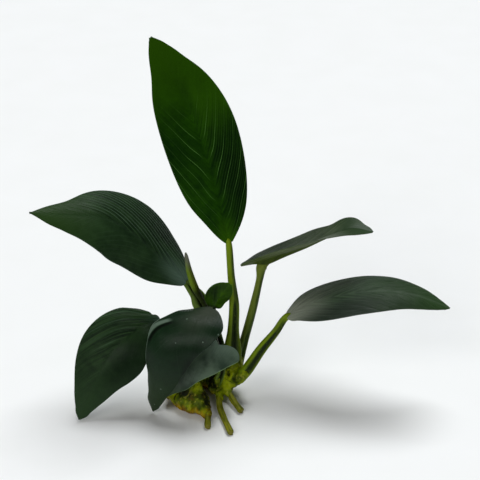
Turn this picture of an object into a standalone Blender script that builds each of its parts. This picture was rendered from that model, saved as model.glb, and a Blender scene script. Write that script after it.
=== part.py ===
"""A bare-rooted anubias plant, resting as picked: a creeping rhizome with trimmed roots, eight leaves
on their stalks, and one leaf still rolled up. The tables are in millimetres, and +Z is up. The origin
is in the rhizome's flat underside, on the surface that the plant rests on."""

import math

import bmesh
import bpy
from mathutils import Vector

MM = 0.001
SHARP_ANGLE = math.radians(50)

BLADE_THICKNESS = 0.8
BLADE_COLUMNS = 8
BLADE_ROWS = 14
TIP_SHARE = 0.997

STALK_SIDES = 10
STALK_RINGS = 9
STALK_FRONT = (0, -1, 0.2)

ROOT_SIDES = 8
ROOT_RINGS = 8
ROOT_RADIUS = 1.3
ROOT_TOP = (0, 0, 1)

RHIZOME_SIDES = 16
RHIZOME_RINGS = 20
RHIZOME_FRONT = (0.9, -0.9, 0.2)
SCAR_HEIGHT = 0.05
END_ROUNDING = 0.1
GROUND_WIDTH = 100.0
GROUND_DEPTH = 30.0

# Each blade: its midrib from the stalk to the tip, and the way its upper side faces at the base, the
# middle and the tip. Left and right are as seen from the stalk, upper side up: half_widths is the
# widest part of the left and of the right half, and hang is how far their margins droop, as a share
# of the half width. base and tip say how gently the outline closes at each end, and start is the
# share of that outline left out at the stalk. lobe is how far the halves reach back past the stalk,
# and fold is how steeply they rise from the midrib, at the base and at the tip.
BLADES = {
    "tall": dict(
        midrib=[(11.6, 1, 67.6), (7.7, 4, 85.7), (1.2, 8, 108.3), (-8.6, 14, 131.9), (-18.4, 19, 148.2)],
        facing=[(0.1, -0.95, 0.3), (0.0, -0.9, 0.4), (0.1, -0.9, 0.4)],
        half_widths=(14.6, 14.2), base=0.88, tip=0.92, start=0.012, lobe=0.0,
        fold=(0.1, 0.05), hang=(0.05, 0.05),
    ),
    "left": dict(
        midrib=[
            (-5.8, -3, 52.6), (-15.5, -2, 62.2), (-26.5, -2.5, 74.2),
            (-37.5, -4.5, 82), (-51, -8, 85.4), (-65.1, -11, 88),
        ],
        facing=[(0.4, -0.65, 0.65), (0.2, -0.6, 0.75), (-0.1, -0.6, 0.8)],
        half_widths=(13.4, 15.4), base=0.85, tip=1.2, start=0.02, lobe=1.0,
        fold=(0.05, 0.05), hang=(0.15, 0.35),
    ),
    "low_left": dict(
        midrib=[
            (-16.2, -4, 34.8), (-23.5, -10.5, 35.5), (-32.5, -16, 31),
            (-40, -20.5, 21.3), (-45, -23.5, 11.2), (-49, -26.5, 1),
        ],
        facing=[(-0.1, -0.25, 0.95), (-0.25, -0.8, 0.55), (-0.25, -0.95, 0.2)],
        half_widths=(12.6, 14.2), base=0.54, tip=0.9, start=0.02, lobe=0.8,
        fold=(0.0, 0.0), hang=(0.25, 0.1),
    ),
    "front": dict(
        midrib=[
            (5.2, -14, 46), (-2.6, -20.4, 43.5), (-10, -25, 37.2),
            (-14.4, -27, 27), (-16.6, -24.5, 14), (-19.6, -20.4, 0.9),
        ],
        facing=[(-0.3, -0.1, 1.0), (-0.2, -0.85, 0.5), (-0.3, -0.9, 0.0)],
        half_widths=(10.4, 11.0), base=0.42, tip=0.85, start=0.04, lobe=1.4,
        fold=(0.0, 0.0), hang=(0.2, 0.26),
    ),
    "under": dict(
        midrib=[
            (7.8, -15, 28.4), (0.7, -18, 26.8), (-5.7, -20, 22), (-11.5, -20.5, 14.5), (-15.9, -19, 5),
        ],
        facing=[(0.1, -0.6, 0.8), (-0.2, -0.85, 0.5), (-0.3, -0.9, 0.2)],
        half_widths=(9.6, 7.2), base=0.42, tip=1.15, start=0.1, lobe=5.0,
        fold=(0.0, 0.0), hang=(0.2, 0.2),
    ),
    "small": dict(
        midrib=[(6.2, -7.4, 43.2), (8, -7.4, 48.2), (11, -6.9, 54.2)],
        facing=[(0.1, -0.95, 0.3), (0.0, -0.95, 0.3), (0.0, -0.95, 0.2)],
        half_widths=(4.8, 4.8), base=0.55, tip=0.5, start=0.05, lobe=0.5,
        fold=(0.2, 0.2), hang=(0.0, 0.0),
    ),
    "upper_right": dict(
        midrib=[
            (24.7, 5, 56.8), (32.6, 6, 59.4), (41.9, 7, 62.6),
            (51.9, 8, 67), (61, 8, 70.4), (69.3, 6, 70),
        ],
        facing=[(-0.4, 0.55, 0.7), (-0.3, 0.3, 0.85), (0.1, -0.2, 1.0)],
        half_widths=(12.0, 12.0), base=0.45, tip=0.8, start=0.05, lobe=8.0,
        fold=(0.3, 0.16), hang=(0.0, 0.0),
    ),
    "right": dict(
        midrib=[
            (35.3, -5, 37.5), (41.4, -6, 42.3), (51, -7, 46.6), (63, -8, 50),
            (76, -9, 51.3), (88, -10, 49.3), (99.8, -11, 44.4),
        ],
        facing=[(-0.3, -0.3, 0.9), (0.0, -0.25, 0.97), (0.2, -0.25, 0.95)],
        half_widths=(10.8, 10.2), base=0.9, tip=0.85, start=0.03, lobe=1.0,
        fold=(0.0, 0.0), hang=(0.2, 0.2),
    ),
}

# Each stalk: its middle line from the rhizome up to the blade, and its half width and half depth at
# the sheathed foot, along its length and under the blade.
STALKS = {
    "tall": dict(
        line=[(13.9, -6.4, 17), (14.3, -5, 26), (13.4, -3, 43.4), (12.4, -1, 54), (11.6, 1, 66.6)],
        half_sizes=[(3.3, 2.2), (2.2, 1.9), (1.9, 1.8), (1.5, 1.4), (1.4, 1.2)],
    ),
    "left": dict(
        line=[(8.6, 0.4, 12.5), (5.6, 0.6, 25), (3.4, -0.2, 35), (0.4, -1.2, 43), (-5, -2.5, 51.3)],
        half_sizes=[(2.6, 2), (2.3, 2), (2.8, 1.9), (3.8, 1.8), (1.6, 1.5)],
    ),
    "low_left": dict(
        line=[(-7.4, 0.6, 10.5), (-10.3, -0.4, 21), (-14, -2, 30), (-16, -3.6, 33.5)],
        half_sizes=[(2, 1.8), (1.7, 1.6), (1.5, 1.4), (1.4, 1.2)],
    ),
    "front": dict(
        line=[(5, -6.9, 10.3), (3.2, -6.5, 18.4), (2, -6.8, 28), (2.9, -9, 37), (5, -12.5, 44.3)],
        half_sizes=[(2, 1.7), (1.8, 1.6), (1.7, 1.5), (1.6, 1.5), (1.4, 1.2)],
    ),
    "under": dict(
        line=[(6.1, -11.2, 8.2), (8.3, -12.6, 14), (8.8, -13.4, 20), (7.4, -14, 26)],
        half_sizes=[(1.9, 1.7), (1.6, 1.5), (1.5, 1.4), (1.3, 1.2)],
    ),
    "small": dict(
        line=[(8.9, -3.8, 15), (5.9, -4.9, 25), (5.5, -6.4, 36), (5.7, -7.3, 42.3)],
        half_sizes=[(1.2, 1.1), (1.1, 1), (1, 0.9), (0.9, 0.8)],
    ),
    "upper_right": dict(
        line=[(16.8, -1.5, 14.5), (18.6, -0.8, 24), (21.1, 1, 36.1), (23.9, 4, 48.6), (24.6, 4.8, 55)],
        half_sizes=[(2.3, 1.9), (1.9, 1.7), (1.7, 1.6), (1.5, 1.4), (1.4, 1.2)],
    ),
    "right": dict(
        line=[(17.9, -12.2, 11), (19.6, -11.2, 15.6), (24.6, -9, 23.4), (30.4, -7, 30.6), (34.1, -5.2, 35.8)],
        half_sizes=[(2.5, 2.1), (2.4, 2), (2.1, 1.9), (1.6, 1.5), (1.4, 1.3)],
    ),
}

# The new leaf, still rolled up into a spike.
NEW_LEAF = dict(
    line=[
        (4.8, -2.1, 11), (4.4, -3, 27), (3.4, -4, 36), (1.2, -4.9, 42),
        (-1.3, -5, 49), (-3.6, -4.2, 57.8), (-5.5, -4, 66.2),
    ],
    half_sizes=[(1.2, 1.1), (1.15, 1.1), (1.15, 1.1), (1.2, 1.1), (1.25, 1.1), (1.15, 1), (0.5, 0.4)],
)

# The rhizome creeps from back left to the right, with a branch to the front and an upright crown.
RHIZOME_PIECES = {
    "rhizome": dict(
        line=[(-16, 3, 3.8), (-8, 2, 4.4), (0, 0, 4.8), (7, -3, 4.8), (12.4, -5.6, 4.6)],
        radii=[4.0, 5.2, 5.8, 5.8, 5.0], rings=9,
    ),
    "branch": dict(
        line=[(-8.5, -1, 4.4), (-9, -7.5, 4.6), (-5, -13.8, 4.8), (0, -18.6, 4.2), (2.8, -21.4, 3.2)],
        radii=[5.2, 6.3, 6.4, 5.4, 3.6], rings=7,
    ),
    "crown": dict(
        line=[(10.6, -4.8, 3), (11.8, -5.8, 8), (13.2, -6.6, 12.4), (14, -6.7, 16.4)],
        radii=[4.6, 5.6, 4.8, 3.2], rings=4,
    ),
}

# Each root: its middle line from the rhizome down to where it was trimmed, on the surface.
ROOTS = {
    "front": [(7.6, -10.2, 3.4), (7.6, -18.6, 2.4), (9.8, -27.2, 1.45), (12.4, -35.8, 1.25)],
    "middle": [(2.7, -22.8, 2.7), (2.9, -27, 1.55), (3.1, -31.9, 1.25)],
    "right": [(11.1, -11.3, 4.2), (13.7, -16.6, 2.3), (16.6, -21.3, 1.25)],
    "back": [(1, 6.4, 3), (1.4, 13, 1.6), (2, 23, 1.25)],
    "back_left": [(-10.2, 7.5, 2.9), (-11.6, 12.6, 1.6), (-14, 19, 1.25)],
}

DARK_GREEN = (0.022, 0.055, 0.018, 1)
TALL_GREEN = (0.018, 0.08, 0.006, 1)
YOUNG_GREEN = (0.02, 0.1, 0.008, 1)
STALK_GREEN = (0.12, 0.18, 0.018, 1)
RHIZOME_GREEN = (0.2, 0.22, 0.02, 1)
ROOT_OLIVE = (0.22, 0.22, 0.03, 1)


def clear_scene():
    for obj in list(bpy.data.objects):
        bpy.data.objects.remove(obj, do_unlink=True)


def finish(name, colour, roughness):
    """A plain material for plant tissue."""
    material = bpy.data.materials.new(name)
    material.use_nodes = True
    shader = material.node_tree.nodes["Principled BSDF"]
    shader.inputs["Base Color"].default_value = colour
    shader.inputs["Roughness"].default_value = roughness
    shader.inputs["Metallic"].default_value = 0.0
    return material


def add_object(name, bm, material):
    """Turns a bmesh in millimetres into an object in metres, shaded smooth except at its sharp edges."""
    bmesh.ops.scale(bm, vec=(MM, MM, MM), verts=bm.verts)
    bmesh.ops.recalc_face_normals(bm, faces=bm.faces)
    mesh = bpy.data.meshes.new(name)
    bm.to_mesh(mesh)
    bm.free()
    mesh.shade_smooth()
    mesh.set_sharp_from_angle(angle=SHARP_ANGLE)
    mesh.materials.append(material)
    obj = bpy.data.objects.new(name, mesh)
    bpy.context.scene.collection.objects.link(obj)
    return obj


def along(points, share):
    """The point at a share, 0 to 1, of a smooth curve through all the points."""
    points = [Vector(point) for point in points]
    reach = share * (len(points) - 1)
    i = min(int(reach), len(points) - 2)
    f = reach - i
    start, end = points[i], points[i + 1]
    before = points[i - 1] if i > 0 else start * 2 - end
    after = points[i + 2] if i + 2 < len(points) else end * 2 - start
    bend = (before * 2 - start * 5 + end * 4 - after) * f
    twist = (start * 3 - before - end * 3 + after) * f * f
    return start + ((end - before) + bend + twist) * f / 2


def heading(points, share):
    """The direction of that curve at a share of it."""
    step = 0.01
    return (along(points, min(share + step, 1)) - along(points, max(share - step, 0))).normalized()


def blade_width(blade, share, side):
    """The width of one half at a share of the length, from a blunt or drawn-out base to a pointed tip."""
    place = blade["start"] + (TIP_SHARE - blade["start"]) * share
    widest = blade["base"] / (blade["base"] + blade["tip"])

    def swell(q):
        return q ** blade["base"] * (1 - q) ** blade["tip"]

    return blade["half_widths"][side > 0] * swell(place) / swell(widest)


def blade_point(blade, share, side):
    """A point of the blade's middle surface: side runs from -1 at its left margin to 1 at its right."""
    forward = heading(blade["midrib"], share)
    across = forward.cross(along(blade["facing"], share)).normalized()
    up = across.cross(forward)
    width = blade_width(blade, share, side)
    fold_base, fold_tip = blade["fold"]
    fold = fold_base + (fold_tip - fold_base) * share
    rise = fold * abs(side) - blade["hang"][side > 0] * side * side
    lobe = blade["lobe"] * (1 - share) ** 4 * abs(side) * (2 - abs(side))
    return along(blade["midrib"], share) + across * side * width + up * rise * width - forward * lobe


def make_blade(name, blade, material):
    """A leaf blade: a grid laid along its midrib and given its thickness."""
    bm = bmesh.new()
    bmesh.ops.create_grid(bm, x_segments=BLADE_COLUMNS, y_segments=BLADE_ROWS, size=1)
    for vert in bm.verts:
        even = (vert.co.y + 1) / 2
        eased = (1 - math.cos(math.pi * even)) / 2
        vert.co = blade_point(blade, (even + eased) / 2, vert.co.x)
    obj = add_object(name, bm, material)
    body = obj.modifiers.new("thickness", "SOLIDIFY")
    body.thickness = BLADE_THICKNESS * MM
    body.offset = 0
    return obj


def sweep(line, half_sizes, sides, rings, front, swell=None):
    """A closed rod along a line, from a cylinder cut into rings. It is oval where its half width and
    half depth differ, with its depth towards front."""
    bm = bmesh.new()
    bmesh.ops.create_cone(
        bm, cap_ends=True, cap_tris=False, segments=sides, radius1=1, radius2=1, depth=1
    )
    lengthwise = [edge for edge in bm.edges if abs(edge.verts[0].co.z - edge.verts[1].co.z) > 0.5]
    bmesh.ops.subdivide_edges(bm, edges=lengthwise, cuts=rings - 1)
    for vert in bm.verts:
        share = vert.co.z + 0.5
        forward = heading(line, share)
        across = forward.cross(Vector(front)).normalized()
        deep = across.cross(forward)
        wide_size, deep_size = along(half_sizes, share)
        scale = 1 + (swell(share, math.atan2(vert.co.y, vert.co.x)) if swell else 0)
        offset = across * vert.co.x * wide_size + deep * vert.co.y * deep_size
        vert.co = along(line, share) + offset * scale
    return bm


def make_stalk(name, stalk, material):
    """A leaf stalk, or a leaf still rolled up into one."""
    bm = sweep(stalk["line"], stalk["half_sizes"], STALK_SIDES, STALK_RINGS, STALK_FRONT)
    return add_object(name, bm, material)


def make_root(name, line, material):
    """A trimmed root, a little thinner towards its cut end."""
    sizes = [(ROOT_RADIUS * taper, ROOT_RADIUS * taper) for taper in (1.15, 1, 0.95)]
    bm = sweep(line, sizes, ROOT_SIDES, ROOT_RINGS, ROOT_TOP)
    return add_object(name, bm, material)


def lumpy(rings):
    """A rhizome's surface: leaf scars run round it as low rings, between slight lumps, and it rounds
    off at both ends."""

    def swell(share, angle):
        scars = SCAR_HEIGHT * math.sin(share * rings * math.tau)
        lumps = 0.05 * math.sin(2 * angle + 9 * share) + 0.03 * math.sin(3 * angle - 14 * share)
        closing = max(0.0, abs(share - 0.5) - 0.5 + END_ROUNDING) / END_ROUNDING
        return scars + lumps - 0.5 * closing * closing

    return swell


def boolean(obj, other, operation):
    """Joins or cuts an object with another one, which is hidden."""
    other.hide_render = True
    other.display_type = "WIRE"
    modifier = obj.modifiers.new(other.name, "BOOLEAN")
    modifier.operation = operation
    modifier.object = other
    modifier.solver = "EXACT"


def make_rhizome(material):
    """The creeping stem, its branch and its crown as one solid, flat underneath where it rests."""
    pieces = {}
    for name, piece in RHIZOME_PIECES.items():
        sizes = [(radius, radius) for radius in piece["radii"]]
        surface = lumpy(piece["rings"])
        bm = sweep(piece["line"], sizes, RHIZOME_SIDES, RHIZOME_RINGS, RHIZOME_FRONT, surface)
        pieces[name] = add_object(name, bm, material)
    ground = bmesh.new()
    bmesh.ops.create_cube(ground, size=1)
    bmesh.ops.scale(ground, vec=(GROUND_WIDTH, GROUND_WIDTH, GROUND_DEPTH), verts=ground.verts)
    bmesh.ops.translate(ground, vec=(0, 0, -GROUND_DEPTH / 2), verts=ground.verts)
    rhizome = pieces["rhizome"]
    boolean(rhizome, pieces["branch"], "UNION")
    boolean(rhizome, pieces["crown"], "UNION")
    boolean(rhizome, add_object("ground", ground, material), "DIFFERENCE")
    return rhizome


def main():
    clear_scene()
    blade_finish = finish("blade dark green", DARK_GREEN, 0.35)
    tall_finish = finish("blade sunlit green", TALL_GREEN, 0.4)
    young_finish = finish("young green", YOUNG_GREEN, 0.4)
    stalk_finish = finish("stalk green", STALK_GREEN, 0.45)
    for name, blade in BLADES.items():
        chosen = {"tall": tall_finish, "small": young_finish}.get(name, blade_finish)
        make_blade("blade_" + name, blade, chosen)
    for name, stalk in STALKS.items():
        make_stalk("stalk_" + name, stalk, stalk_finish)
    make_stalk("new_leaf_roll", NEW_LEAF, young_finish)
    make_rhizome(finish("rhizome", RHIZOME_GREEN, 0.55))
    root_finish = finish("root", ROOT_OLIVE, 0.6)
    for name, line in ROOTS.items():
        make_root("root_" + name, line, root_finish)


main()
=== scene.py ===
import math

import bmesh
import bpy
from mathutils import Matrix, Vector, kdtree, noise


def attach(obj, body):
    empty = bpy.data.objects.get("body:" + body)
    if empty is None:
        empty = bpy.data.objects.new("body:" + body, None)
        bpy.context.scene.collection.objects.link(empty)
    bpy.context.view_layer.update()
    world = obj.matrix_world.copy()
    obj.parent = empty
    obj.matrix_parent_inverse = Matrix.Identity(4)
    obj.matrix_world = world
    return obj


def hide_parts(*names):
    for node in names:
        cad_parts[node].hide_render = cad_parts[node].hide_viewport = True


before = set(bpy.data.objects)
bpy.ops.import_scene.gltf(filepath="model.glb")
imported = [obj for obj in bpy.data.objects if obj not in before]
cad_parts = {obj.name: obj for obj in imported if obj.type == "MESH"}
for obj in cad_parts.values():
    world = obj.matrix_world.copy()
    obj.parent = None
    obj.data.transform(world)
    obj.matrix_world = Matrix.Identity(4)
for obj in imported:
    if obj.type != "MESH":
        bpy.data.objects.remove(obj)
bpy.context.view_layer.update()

# The rhizome is the plant's creeping stem: firm green flesh under a thin skin that browns with age,
# ringed by the scars of fallen leaves. It grew as one piece, with a branch to the front, a crown that
# carries the leaves, dormant buds, and a swelling wherever a root leaves it. Lengths are millimetres.
MM = 0.001
RHIZOME_SIDES = 28
RHIZOME_RINGS = 60
RHIZOME_FRONT = (0.9, -0.9, 0.2)
RHIZOME_GRAIN = 0.4
RHIZOME_SOFTENING = 4
SCAR_HEIGHT = 0.03
SCAR_DEPTH = 0.35
END_ROUNDING = 0.16
SKIN_LUMP = 1.0
# Lumps of the skin, broad and fine: how close together, and how strong.
LUMPS = [(0.25, 0.8), (0.7, 0.35)]
SCAR_STEPS = 60
# The main stem, its front branch and the crown.
RHIZOME_PIECES = [
    dict(
        line=[(-16, 3, 3.8), (-8, 2, 4.4), (0, 0, 4.8), (7, -2.6, 4.8), (11, -4.8, 4.8)],
        radii=[4, 5.2, 5.6, 5.2, 4.2], rings=9, length=31,
    ),
    dict(
        line=[(-8.5, -1, 4.4), (-9, -7.5, 4.6), (-5.4, -13.2, 4.8), (-1.4, -17.4, 4), (1.4, -20.6, 3)],
        radii=[5.2, 6.3, 6.3, 4.6, 3], rings=7, length=24,
    ),
    dict(
        line=[(10.8, -4.4, 4.4), (11.6, -5.6, 8), (12.6, -6, 11), (13.4, -6, 13.6)],
        radii=[4.2, 4.9, 4.2, 3], rings=3, length=12,
    ),
]
# Where the skin swells out of the rhizome: a line for each root, then for each leaf stalk but the small
# one, as places and the radius there.
SWELLING_RINGS = 16
SWELLINGS = {
    "middle root": [
        ((-2.6, -17.4, 3.6), 5), ((0.6, -20.6, 3), 3.7), ((2.4, -23.8, 2.3), 2.3), ((2.9, -26.6, 1.7), 1.2),
    ],
    "front root": [
        ((8.6, -5.6, 5), 3.2), ((7.9, -9, 4.1), 2.3), ((7.6, -13, 3.2), 1.6), ((7.6, -15.4, 2.8), 1.2),
    ],
    "right root": [
        ((10.4, -7, 6.4), 3.6), ((10.6, -9.6, 5.2), 2.3), ((11.6, -12.2, 3.9), 1.6),
        ((12.6, -14.6, 3), 1.2),
    ],
    "back root": [((0.6, 3, 4.2), 3.6), ((1, 6.4, 3.2), 2.2), ((1.2, 10, 2.2), 1.2)],
    "back left root": [((-9.4, 4.6, 4), 3.6), ((-10.2, 7.6, 3), 2.2), ((-11, 10.6, 2.1), 1.2)],
    "tall": [((12.6, -5.4, 7), 4.4), ((13.5, -6.2, 12), 3.3), ((14, -6, 17.5), 2.2)],
    "left": [((9, -2, 7), 4), ((8.4, 0.2, 12), 3.2), ((7.1, 0.5, 18.5), 2)],
    "upper_right": [((13.2, -4.8, 8), 3.8), ((14.9, -3.4, 11.6), 2.7), ((16.2, -2.2, 16.4), 1.8)],
    "right": [
        ((11.4, -7.8, 6.4), 3.8), ((13.4, -9.4, 8.8), 3.3), ((16.2, -10.8, 11.8), 2.7),
        ((18.8, -11.3, 14.8), 2.1),
    ],
    "low_left": [((-6.5, 1, 5), 3.6), ((-7.6, 0.6, 9.5), 2.9), ((-8.9, 0.1, 15), 1.7)],
    "front": [((5.8, -6.5, 5), 3.6), ((5, -6.9, 10), 2.7), ((4, -6.7, 15), 1.7)],
    "under": [((5.6, -8.4, 4), 3), ((6.1, -10.8, 8.2), 2.3), ((7.4, -12, 12), 1.5)],
}
# Dormant buds and stubs of old leaves, as places and radii.
BUDS = [
    ((-6.8, -14.2, 9.4), 2.6),
    ((-1.4, -15.2, 9), 2.5),
    ((-10.8, -8.5, 8.6), 2.6),
    ((-11.4, -13.8, 4.2), 2.8),
    ((-9.2, -15.8, 3.6), 3.6),
    ((-6.6, -17.6, 3.5), 3.9),
    ((-3.6, -19, 3.3), 4.1),
    ((9, -9, 8.4), 2.4),
    ((12, -9.6, 6.2), 2.4),
    ((-13, 1.6, 7.4), 2),
    ((3.2, 1.6, 8.8), 1.9),
    ((15.6, -4.4, 8.2), 1.7),
]
# The round scar of a lost leaf on the crown: its place, radius and depth.
ROUND_SCAR = Vector((11, -10.2, 11.8))
ROUND_SCAR_RADIUS = 1.2
ROUND_SCAR_DEPTH = 0.5
# Lighter and darker places of the skin, then browned ones: each a place, a radius and how much. Most are
# the skin's own tone; two darker ones are painted shade, as marked.
LIGHT_AND_DARK = [
    ((-1.4, -16.4, 10), 2.4, 0.3),
    ((-11.4, -15.8, 5), 3.4, 0.7),
    ((-7.4, -17, 8.6), 2.4, -0.6),
    ((-4, -20, 4), 3, 0.1),
    ((-3.8, -18.6, 7.4), 1.6, -0.5),
    ((2.4, -13, 8), 3.6, -0.7),
    ((2.2, -18.8, 6.6), 2.6, -0.6),
    ((2, -21.4, 4.4), 2, -0.5),
    # Painted shade on the main stem where it shows in the gap between the front branch and the crown.
    ((6, -5, 9), 4, -0.5),
    ((9.6, -9, 10.6), 1.6, 0.3),
    ((12, -12, 8), 2.2, 0.35),
    ((13.4, -9, 12.5), 1.6, 0.25),
    # Painted shade on the crown under the right leaf's stalk.
    ((14.4, -12.4, 10), 2.6, -0.25),
    ((11.6, -10.4, 9.6), 3.6, 0.2),
]
BROWNED = [
    ((-3.4, -19.6, 7.6), 2, 0.6),
    ((-3, -20.4, 5), 2, 0.7),
    ((1.6, -17.4, 8), 2.2, 0.7),
    ((10.4, -12.6, 5), 1.4, 0.4),
]


def curve(points):
    return [Vector(point) for point in points]


def along(points, share):
    """The point at a share, 0 to 1, of a smooth curve through all the points."""
    reach = share * (len(points) - 1)
    i = min(int(reach), len(points) - 2)
    f = reach - i
    start, end = points[i], points[i + 1]
    before = points[i - 1] if i > 0 else start * 2 - end
    after = points[i + 2] if i + 2 < len(points) else end * 2 - start
    bend = (before * 2 - start * 5 + end * 4 - after) * f
    twist = (start * 3 - before - end * 3 + after) * f * f
    return start + ((end - before) + bend + twist) * f / 2


def heading(points, share):
    """The direction of that curve at a share of it."""
    step = 0.01
    return (along(points, min(share + step, 1)) - along(points, max(share - step, 0))).normalized()


def bell(gap, width):
    """1 where the gap is nothing, falling away to 0 over about twice the width."""
    return math.exp(-((gap / width) ** 2))


def grow_rod(line, half_sizes, sides, rings, front, shape):
    """Makes a closed rod along a line. Each half size is (across, deep), with deep towards front, and
    shape says how many times wider the rod is at a share of its length and an angle round it. Each
    point keeps, as its grain, the cosine and sine of that angle and its distance along the rod."""
    line, half_sizes = curve(line), curve(half_sizes)
    bm = bmesh.new()
    grain = bm.verts.layers.float_vector.new("grain")
    bmesh.ops.create_cone(
        bm, cap_ends=True, cap_tris=False, segments=sides, radius1=1, radius2=1, depth=1
    )
    lengthwise = [edge for edge in bm.edges if abs(edge.verts[0].co.z - edge.verts[1].co.z) > 0.5]
    bmesh.ops.subdivide_edges(bm, edges=lengthwise, cuts=rings - 1)
    rows = {}
    for vert in bm.verts:
        rows.setdefault(round(vert.co.z + 0.5, 5), []).append(vert)
    distance = 0
    last = along(line, 0)
    for share in sorted(rows):
        centre = along(line, share)
        distance += (centre - last).length
        last = centre
        forward = heading(line, share)
        across = forward.cross(Vector(front)).normalized()
        deep = across.cross(forward)
        wide_size, deep_size = along(half_sizes, share)
        for vert in rows[share]:
            angle = math.atan2(vert.co.y, vert.co.x)
            scale = shape(share, angle)
            x, y = math.cos(angle), math.sin(angle)
            vert.co = centre + across * (x * scale) * wide_size + deep * (y * scale) * deep_size
            vert[grain] = (x, y, distance)
    return bm


def rod_length(rod):
    return max(vert[rod.verts.layers.float_vector["grain"]].z for vert in rod.verts)


def add_object(name, data):
    """Puts a mesh, a lamp or a camera in the scene."""
    made = bpy.data.objects.new(name, data)
    bpy.context.scene.collection.objects.link(made)
    return made


def finished(name, bm, finishes):
    """Makes the object of a bmesh in millimetres."""
    bmesh.ops.scale(bm, vec=(MM, MM, MM), verts=bm.verts)
    mesh = bpy.data.meshes.new(name)
    bm.to_mesh(mesh)
    bm.free()
    mesh.shade_smooth()
    for finish in finishes:
        mesh.materials.append(finish)
    return add_object(name, mesh)


def add_piece(name, bm, finishes, nodes):
    """Adds a piece of the plant, which stands for CAD nodes."""
    piece = finished(name, bm, finishes)
    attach(piece, "root")
    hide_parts(*nodes)
    return piece


def shade(red, green, blue):
    """A colour as it looks on a screen, 0 to 255 each, as the light that it reflects."""
    return tuple((value / 255) ** 2.2 for value in (red, green, blue)) + (1,)


class Wire:
    """One output in a material. Arithmetic on wires adds Math nodes, so a pattern reads as a sum."""

    def __init__(self, tree, socket=None):
        self.tree = tree
        self.socket = socket

    def node(self, kind, settings, inputs, output=0):
        """Adds a node. Its settings are made first, then its sockets take values or other wires."""
        made = self.tree.nodes.new(kind)
        for name, value in settings.items():
            setattr(made, name, value)
        for name, value in inputs.items():
            if isinstance(value, Wire):
                self.tree.links.new(value.socket, made.inputs[name])
            else:
                made.inputs[name].default_value = value
        return Wire(self.tree, made.outputs[output])

    def place(self):
        """Where a point is on the piece, in metres."""
        return self.node("ShaderNodeTexCoord", {}, {}, "Object")

    def kept(self, name, kind):
        """What the mesh keeps at each point: a value, which is kind Fac, or a place, kind Vector."""
        return self.node("ShaderNodeAttribute", {"attribute_name": name}, {}, kind)

    def maths(self, operation, *values):
        return self.node("ShaderNodeMath", {"operation": operation}, dict(enumerate(values)))

    def __add__(self, other):
        return self.maths("ADD", self, other)

    def __sub__(self, other):
        return self.maths("SUBTRACT", self, other)

    def __rsub__(self, other):
        return self.maths("SUBTRACT", other, self)

    def __mul__(self, other):
        return self.maths("MULTIPLY", self, other)

    def __truediv__(self, other):
        return self.maths("DIVIDE", self, other)

    __radd__ = __add__
    __rmul__ = __mul__

    def size(self):
        """The value without its sign."""
        return self.maths("ABSOLUTE", self)

    def part(self, axis):
        """The X, Y or Z of a place."""
        return self.node("ShaderNodeSeparateXYZ", {}, {"Vector": self}, axis)

    def rise(self, low, high):
        """0 below low, 1 above high, and a smooth slope between them."""
        slope = {"Value": self, "From Min": low, "From Max": high}
        return self.node("ShaderNodeMapRange", {"interpolation_type": "SMOOTHSTEP"}, slope)

    def line(self, width):
        """1 where a count passes a whole number, fading to 0 within a width, a share of the gap."""
        return ((self.maths("FRACT", self) - 0.5).size() * 2).rise(1 - width, 1)

    def blend(self, first, second):
        """The first colour where this is 0, and the second where it is 1."""
        return self.node("ShaderNodeMix", {"data_type": "RGBA"}, {0: self, 6: first, 7: second}, 2)

    def ramp(self, stops):
        """The colour at this place on a scale of (place, colour) stops."""
        made = self.node("ShaderNodeValToRGB", {}, {"Fac": self})
        colours = made.socket.node.color_ramp.elements
        while len(colours) < len(stops):
            colours.new(1)
        for stop, (place, colour) in zip(colours, stops):
            stop.position = place
            stop.color = colour
        return made

    def cloud(self, scale, detail, stretch=(1, 1, 1)):
        """Soft noise over a place, about 0.25 to 0.75."""
        place = self.node("ShaderNodeMapping", {}, {"Vector": self, "Scale": stretch})
        return self.node("ShaderNodeTexNoise", {}, {"Vector": place, "Scale": scale, "Detail": detail})

    def relief(self, depth, strength):
        """The surface's slope where this is its height, 1 being that depth in metres."""
        return self.node("ShaderNodeBump", {}, {"Height": self, "Distance": depth, "Strength": strength})


def new_finish(name, gloss):
    """A material with its gloss set, its shader, and a wire to start patterns from."""
    finish = bpy.data.materials.new(name)
    finish.use_nodes = True
    shader = finish.node_tree.nodes["Principled BSDF"]
    shader.inputs["Specular IOR Level"].default_value = gloss
    return finish, shader, Wire(finish.node_tree)


def dress(shader, *wires):
    """Leads a colour, a roughness and, where there is one, a relief into a shader."""
    for name, wire in zip(("Base Color", "Roughness", "Normal"), wires):
        wire.tree.links.new(wire.socket, shader.inputs[name])


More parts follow.
